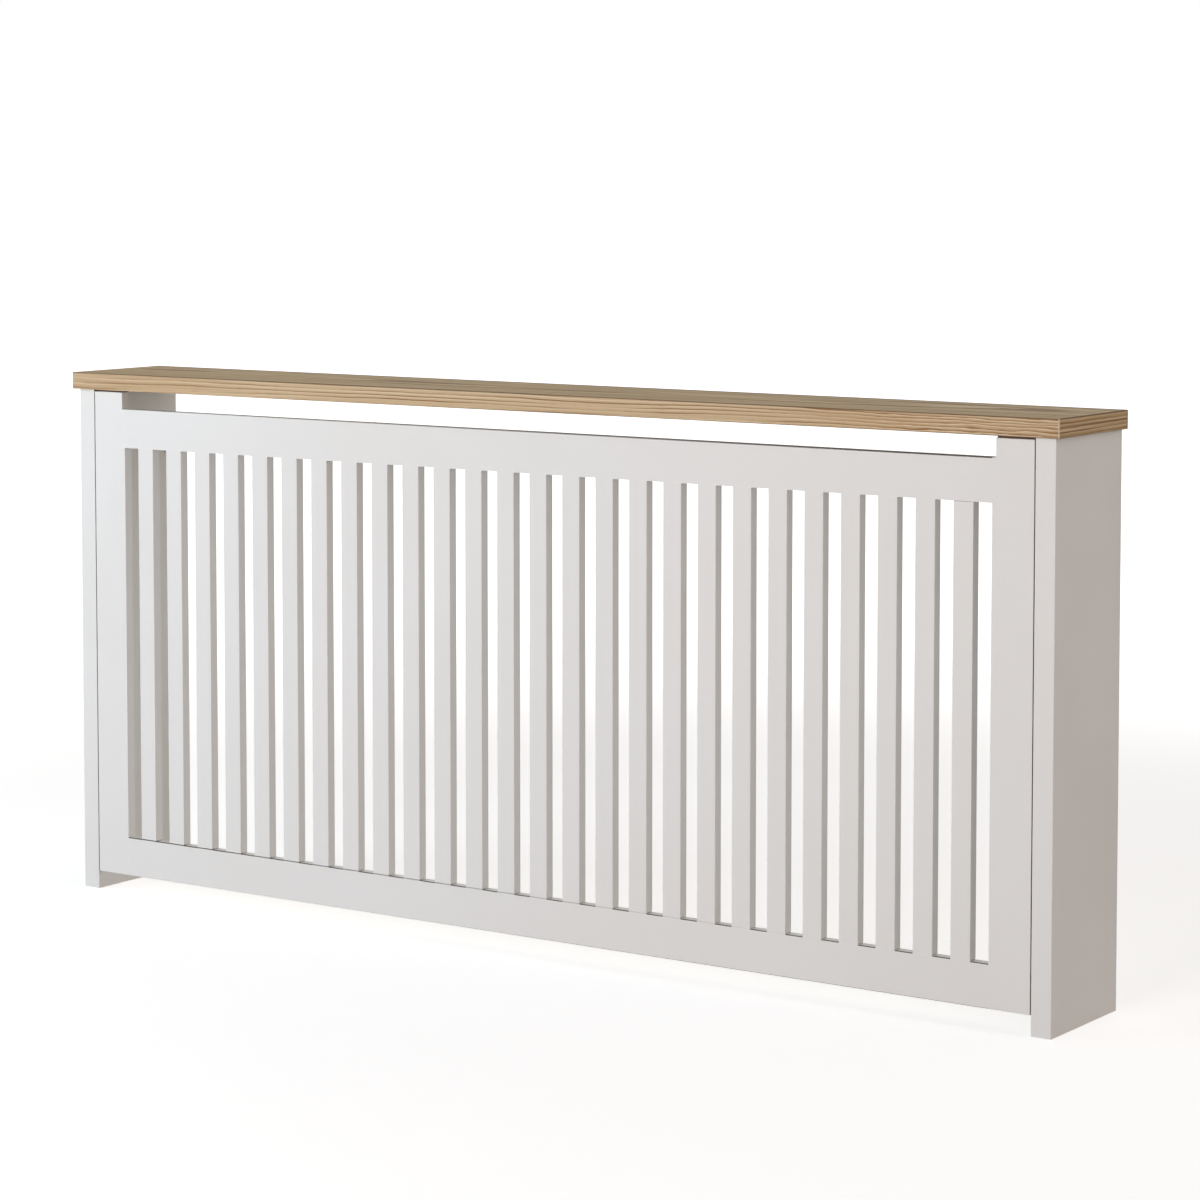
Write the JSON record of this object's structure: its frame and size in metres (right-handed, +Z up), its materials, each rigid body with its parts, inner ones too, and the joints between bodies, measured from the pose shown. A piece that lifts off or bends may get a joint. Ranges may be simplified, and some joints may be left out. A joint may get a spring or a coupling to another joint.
{
  "type": "radiator cover cabinet",
  "caption": "Long low radiator cover: white slatted front frame between two side panels under an oak shelf, open at back and bottom, with wall brackets.",
  "frame": {"origin": "on the floor, under the middle of the shelf's outline; the wall plane is 100 mm behind it at Y = +0.1 m", "axes": "+X along the front to the right as seen from the room, +Y from the room into the wall, +Z up"},
  "size_m": [1.72, 0.2, 0.815],
  "materials": {
    "white_paint": "satin white lacquer on fibreboard",
    "oak_board": "matt light oak with a long straight grain",
    "oak_edging": "matt light oak strip with a long grain",
    "beech_dowel": "plain turned beech",
    "cast_zinc": "dull cast zinc",
    "plated_steel": "bright zinc plating"
  },
  "bodies": {
    "root": {"top_board": "oak_board", "top_front_edging": "oak_edging", "top_left_edging": "oak_edging", "top_right_edging": "oak_edging", "left_side_panel": "white_paint", "right_side_panel": "white_paint", "left_stile": "white_paint", "right_stile": "white_paint", "top_rail": "white_paint", "bottom_rail": "white_paint", "slat_01": "white_paint", "slat_02": "white_paint", "slat_03": "white_paint", "slat_04": "white_paint", "slat_05": "white_paint", "slat_06": "white_paint", "slat_07": "white_paint", "slat_08": "white_paint", "slat_09": "white_paint", "slat_10": "white_paint", "slat_11": "white_paint", "slat_12": "white_paint", "slat_13": "white_paint", "slat_14": "white_paint", "slat_15": "white_paint", "slat_16": "white_paint", "slat_17": "white_paint", "slat_18": "white_paint", "slat_19": "white_paint", "slat_20": "white_paint", "slat_21": "white_paint", "slat_22": "white_paint", "slat_23": "white_paint", "slat_24": "white_paint", "slat_25": "white_paint", "slat_26": "white_paint", "rail_dowels": "beech_dowel", "side_dowels": "beech_dowel", "top_dowels": "beech_dowel", "front_cams": "cast_zinc", "top_cams": "cast_zinc", "front_cam_bolts": "plated_steel", "top_cam_bolts": "plated_steel", "left_wall_bracket": "plated_steel", "right_wall_bracket": "plated_steel", "bracket_screws": "plated_steel"}
  },
  "joints": []
}
